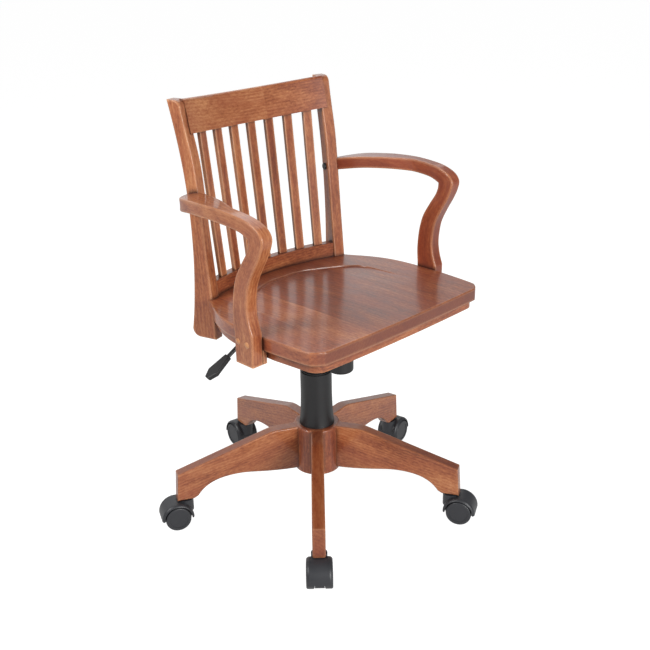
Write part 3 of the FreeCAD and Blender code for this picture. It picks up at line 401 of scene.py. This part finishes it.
def grid_mesh(name, points, board=None, crisp=30):
    """Mesh of a (rows, columns, 3) grid of points in metres, closed round its columns, its first
    and last rows capped. A second grid is stored as the board attribute."""
    rows, cols = points.shape[:2]
    index = np.arange(rows * cols).reshape(rows, cols)
    nxt = np.roll(index, -1, axis=1)
    quads = np.stack([index[:-1], nxt[:-1], nxt[1:], index[1:]], axis=-1).reshape(-1, 4).tolist()
    quads += [index[0, ::-1].tolist(), index[-1].tolist()]
    mesh = bpy.data.meshes.new(name)
    mesh.from_pydata(points.reshape(-1, 3).tolist(), [], quads)
    if board is not None:
        layer = mesh.attributes.new("board", "FLOAT_VECTOR", "POINT")
        layer.data.foreach_set("vector", board.reshape(-1).astype(np.float32))
    mesh.polygons.foreach_set("use_smooth", np.ones(len(mesh.polygons), bool))
    mesh.update()
    mesh.set_sharp_from_angle(angle=math.radians(crisp))
    return mesh


def place_piece(name, mesh, mat, body, instead_of):
    """Put a finished mesh in the scene, riding on a body in place of frame parts."""
    mesh.materials.append(mat)
    piece = bpy.data.objects.new(name, mesh)
    bpy.context.collection.objects.link(piece)
    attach(piece, body)
    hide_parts(*instead_of)


# %% Arm outlines, in millimetres of Y and Z, then of Y and X
FOOT_BOTTOM = 429.0
PAD_HALF_X, PAD_HALF_Y, PAD_EASE = 4.6, 23.2, 0.8
PAD_X, PAD_Y, PAD_TOP = 232.1, -88.6, 455.6
UPPER = [[(131, 684), (120, 686.5), (83, 693), (45, 697), (5, 700), (-45, 701), (-95, 697), (-122, 690.5),
          (-140, 681), (-148, 668), (-145, 652), (-136, 632), (-121, 606), (-108, 579), (-102.5, 552),
          (-101.5, 530), (-105.5, 508), (-112.5, 488)], [(-112.5, 488), (-111.5, FOOT_BOTTOM)]]
LOWER = [[(131, 659), (108, 664), (60, 672), (10, 676), (-25, 676.5), (-60, 675), (-88, 672), (-102, 668),
          (-113, 663)],
         [(-113, 663), (-112.5, 657), (-111.5, 651), (-106, 638), (-92, 617), (-77, 592), (-69, 568),
          (-65, 545), (-63, 516), (-64.5, 488)], [(-64.5, 488), (-65.5, FOOT_BOTTOM)]]
PLAN_OUTER = through([(-170, 261), (-95, 261), (-38, 260), (18, 256), (58, 249), (80, 244), (95, 238.5),
                      (108, 230), (119, 217), (125, 207), (128, 198), (131, 192)], 8)
PLAN_INNER = through([(-170, 236), (-60, 236), (-35, 231), (0, 218), (52, 201), (96, 186), (131, 178)], 8)


# %% Carry the section along each arm
def arm_surface(sign, steps=14, edge=2.6):
    """Arm points: middle of the two outlines plus the section's height and width offsets."""
    top, low = chained(UPPER, steps), chained(LOWER, steps)
    middle, up = (top + low) / 2, (top - low) / 2
    half_h = np.linalg.norm(up, axis=1)
    run = np.concatenate([[0], np.cumsum(np.linalg.norm(np.diff(middle, axis=0), axis=1))])
    points, board = [], []
    for mid, rise, half, far in zip(middle, up, half_h, run):
        outer, inner = np.interp(mid[0], *PLAN_OUTER.T), np.interp(mid[0], *PLAN_INNER.T)
        half_w = (outer - inner) / 2
        w, h = eased_section(half_w, half, min(edge, half_w * 0.9, half * 0.9))
        yz = mid + np.outer(h / half, rise)
        outer, inner = np.interp(yz[:, 0], *PLAN_OUTER.T), np.interp(yz[:, 0], *PLAN_INNER.T)
        x = (outer + inner) / 2 + w / half_w * (outer - inner) / 2
        points.append(np.column_stack([sign * x, yz]))
        board.append(np.column_stack([np.full(len(w), far), w, h]))
    points, board = np.array(points) / 1000, np.array(board) / 1000
    if sign < 0:
        points, board = points[:, ::-1], board[:, ::-1]
    return points, board


def pad(sign):
    """Block on the foot's inner face that fills in under the seat's overhang."""
    rows = []
    w, h = eased_section(PAD_HALF_X, PAD_HALF_Y, PAD_EASE)
    for z in (FOOT_BOTTOM, PAD_TOP):
        rows.append(np.column_stack([sign * (PAD_X + w), PAD_Y + h, np.full(len(w), z)]))
    rows = np.array(rows) / 1000
    return rows[:, ::-1] if sign < 0 else rows


# the right arm's board gets a lower tone and more red than the left's, as painted shade for its inner face
ARM_WOODS = {"arm_right": stained_wood("right arm board", None, 77, tone=-0.12, red=0.4),
             "arm_left": stained_wood("left arm board", None, 71, tone=0.01)}
for name, sign in (("arm_right", 1), ("arm_left", -1)):
    block = pad(sign)
    place_piece(name + "_pad", grid_mesh(name + "_pad", block, block[:, :, ::-1]), ARM_WOODS[name],
                "seat", [name])
    points, board = arm_surface(sign)
    place_piece(name + "_shaped", grid_mesh(name, points, board), ARM_WOODS[name], "seat", [name])
    print(name, "vertices", points.shape[0] * points.shape[1])

# %% [markdown]
# ## The seat
# The seat is glued up from boards that run front to back. Its hollow is routed: a crisp low step
# at the back and sides, which fades out towards the front. A height map would blur that step, so
# the seat is built of closed rings instead: from the middle out to the step, up the step, out to
# the rounded edge, and down the side.

# %% Seat outline and hollow
SEAT_TOP, SEAT_UNDER, EASE = 481.0, 456.0, 2.6
HALF, FRONT, BACK = 236.0, -241.0, 168.0
EDGE_OUT = [(0, FRONT), (100, FRONT + 1.0), (197, FRONT + 4), (210, FRONT + 7.3), (222, FRONT + 17),
            (229, FRONT + 33), (HALF, FRONT + 111), (HALF, -90), (HALF, -50), (230, 0), (214, 45),
            (190, 88), (158, 150), (80, 163.5), (0, BACK)]
STEP_OUT = [(0, -175), (60, -173), (118, -163), (155, -140), (164, -105), (163, -34), (156, 16), (133, 43),
            (88, 70), (44, 89), (0, 91)]
CENTRE = (0, -40.0)                                    # the rings are drawn about it
HOLLOW_DEPTH, HOLLOW_START, HOLLOW_RUN = 3.6, -125, 200     # deepest, level up to here, over this far
HOLLOW_SHARES = (0.02, 0.1, 0.2, 0.3, 0.4, 0.5, 0.6, 0.7, 0.8, 0.87, 0.93, 0.965)
STEP_RISE = ((-3.4, 0.0), (-2.2, 0.06), (-1.2, 0.25), (-0.7, 0.5), (-0.35, 0.85), (-0.1, 0.97),
             (0.4, 1.0))                               # (out from the step's line, share of its height)
FLAT_SHARES = (0.0, 0.15, 0.3, 0.45, 0.6, 0.75, 0.9, 1.0)


def closed_ring(half_outline, steps, count):
    """Right half of an outline, mirrored and spaced evenly by its turning about the centre."""
    right = through(half_outline, steps)
    whole = np.vstack([right, (right * (-1, 1))[-2:0:-1]])
    turn = np.unwrap(np.arctan2(whole[:, 1] - CENTRE[1], whole[:, 0]))
    wanted = turn[0] + np.arange(count) * 2 * math.pi / count
    return np.column_stack([np.interp(wanted, turn, whole[:, k], period=2 * math.pi) for k in (0, 1)])


def hollow_depth(y):
    """Depth of the hollow: full at the back, easing to nothing as (t^2)(3 - 2t) at the front."""
    t = np.clip((y - HOLLOW_START) / HOLLOW_RUN, 0, 1)
    return HOLLOW_DEPTH * t * t * (3 - 2 * t)


def seat_rings(count=720):
    """Seat points, ring by ring, in metres."""
    edge, step = closed_ring(EDGE_OUT, 24, count), closed_ring(STEP_OUT, 24, count)
    centre = np.array(CENTRE)
    inward = centre - edge
    inward /= np.linalg.norm(inward, axis=1)[:, None]
    tangent = np.roll(edge, -1, axis=0) - np.roll(edge, 1, axis=0)
    normal = np.column_stack([tangent[:, 1], -tangent[:, 0]])
    normal /= np.linalg.norm(normal, axis=1)[:, None]
    rings = []
    for share in HOLLOW_SHARES:
        at = centre + (step - centre) * share
        rings.append((at, SEAT_TOP - hollow_depth(at[:, 1])))
    away = (step - centre) / np.linalg.norm(step - centre, axis=1)[:, None]
    for outward, rise in STEP_RISE:
        at = step + away * outward
        rings.append((at, SEAT_TOP - hollow_depth(at[:, 1]) * (1 - rise)))
    level = np.full(count, SEAT_TOP)
    start, stop = step + away * 3, edge - normal * (EASE + 0.6)
    for share in FLAT_SHARES:
        rings.append((start + (stop - start) * share, level))
    for turn in np.linspace(0, math.pi / 2, 6):
        rings.append((edge - normal * EASE * (1 - math.sin(turn)), level - EASE * (1 - math.cos(turn))))
    for drop in (EASE + 0.6, SEAT_TOP - SEAT_UNDER - 1.6, SEAT_TOP - SEAT_UNDER - 1.0):
        rings.append((edge, level - drop))
    rings.append((edge - normal * 0.3, level - (SEAT_TOP - SEAT_UNDER - 0.3)))
    rings.append((edge - normal * 1.0, np.full(count, SEAT_UNDER)))
    for share in (0.1, 0.5, 0.98):
        rings.append((edge + (centre - edge) * share, np.full(count, SEAT_UNDER)))
    return np.array([np.column_stack([at, z]) for at, z in rings]) / 1000


points = seat_rings()
place_piece("seat_shaped", grid_mesh("seat", points, crisp=50),
            stained_wood("seat boards", (0, 1, 0), 61, tone=-0.06, red=0.12, coat=0.7, pith=0.4, knots=2.0,
                         lines=0.8, polish=0.16, wear_and_highlight=0.42, soak=0.75,
                         joints=(-0.165, -0.085, 0.005, 0.1, 0.17)), "seat", ["seat_panel"])
print("seat vertices", points.shape[0] * points.shape[1])

# %% [markdown]
# ## The studio
# The photograph was taken from the chair's front left corner, 0.3 m above the top of its back, with
# white all round. The camera below stands there. A wide floor and a white world make the
# surroundings. Three soft boxes light the chair: a key in front, one high on the left, and a faint
# one high behind on the right. The camera sees the world white. Gloss sees it white behind the
# chair and dimmer all round, like a studio with one lit backdrop. On matt surfaces it shines
# dimmer still, so that the sides keep their shading.

# %% Camera
HEADING = 0.783
PITCH = 0.397
ROLL = -0.016
forward = Vector((math.cos(PITCH) * math.sin(HEADING), math.cos(PITCH) * math.cos(HEADING), -math.sin(PITCH)))
side = Vector((math.cos(HEADING), -math.sin(HEADING), 0))
above = side.cross(forward)
right = side * math.cos(ROLL) + above * math.sin(ROLL)
above = above * math.cos(ROLL) - side * math.sin(ROLL)
camera = bpy.data.objects.new("camera", bpy.data.cameras.new("camera"))
bpy.context.collection.objects.link(camera)
camera.matrix_world = Matrix((right, above, -forward)).transposed().to_4x4()
camera.location = (-1.264, -1.2984, 1.159)
camera.data.sensor_width = 36
camera.data.lens = 54.52
camera.data.clip_end = 50
bpy.context.scene.camera = camera

# %% Floor, world and lamps
floor_mat, tree, shader = fresh_material("studio floor")
tree.nodes.remove(shader)
rays = add(tree, "LightPath").outputs
matt = add(tree, "BsdfDiffuse", {"Color": paint("#A0A0A0")}).outputs["BSDF"]
lift = add(tree, "Emission", {"Color": (1, 1, 1, 1), "Strength":
                              weighted(tree, [(rays["Is Camera Ray"], 0.9), (rays["Is Glossy Ray"], 0.5)])
                              }).outputs["Emission"]
both = add(tree, "AddShader", {0: matt, 1: lift}).outputs[0]
tree.links.new(both, tree.nodes["Material Output"].inputs["Surface"])
mesh = bpy.data.meshes.new("floor")
mesh.from_pydata([(-20, -20, 0), (20, -20, 0), (20, 20, 0), (-20, 20, 0)], [], [(0, 1, 2, 3)])
mesh.materials.append(floor_mat)
floor = bpy.data.objects.new("floor", mesh)
bpy.context.collection.objects.link(floor)

world = bpy.data.worlds.new("white studio")
bpy.context.scene.world = world
world.use_nodes = True
tree = world.node_tree
tree.nodes.clear()
rays = add(tree, "LightPath").outputs
outward = add(tree, "TexCoord").outputs["Generated"]
level = add(tree, "VectorMath", {0: outward, 1: (1, 1, 0)}, operation="MULTIPLY").outputs["Vector"]
level = add(tree, "VectorMath", {0: level}, operation="NORMALIZE").outputs["Vector"]
behind = add(tree, "VectorMath", {0: level, 1: (0.342, 0.94, 0.0)}, operation="DOT_PRODUCT").outputs["Value"]
cyclorama = add(tree, "MapRange", {"Value": behind, "From Min": 0.78, "From Max": 0.92, "To Min": 0.3,
                                   "To Max": 1.0}).outputs["Result"]
ON_MATT = 0.26
mirrored = add(tree, "Math", {0: rays["Is Glossy Ray"], 1: rays["Is Transmission Ray"]},
               operation="MAXIMUM").outputs[0]
soft = add(tree, "Mix", {"Factor": mirrored, "A": ON_MATT, "B": cyclorama},
           data_type="FLOAT").outputs["Result"]
strength = add(tree, "Mix", {"Factor": rays["Is Camera Ray"], "A": soft, "B": 1.0},
               data_type="FLOAT").outputs["Result"]
back = add(tree, "Background", {"Color": (1, 1, 1, 1), "Strength": strength}).outputs["Background"]
tree.links.new(back, add(tree, "OutputWorld").inputs["Surface"])


def softbox(name, place, aim, size, watts):
    """A square area lamp at a place, facing a point."""
    lamp = bpy.data.lights.new(name, "AREA")
    lamp.shape = "SQUARE"
    lamp.size = size
    lamp.energy = watts
    holder = bpy.data.objects.new(name, lamp)
    bpy.context.collection.objects.link(holder)
    holder.location = place
    holder.rotation_euler = (Vector(aim) - Vector(place)).to_track_quat("-Z", "Y").to_euler()


softbox("front key", (-0.5, -2.6, 1.1), (0, 0, 0.4), 1.3, 63)
softbox("left side", (-2.0, 0.5, 2.0), (0, 0, 0.7), 0.9, 42)
softbox("rear right top", (1.1, 1.0, 2.1), (0, 0, 0.5), 1.5, 8)
bpy.context.scene.view_settings.view_transform = "Standard"
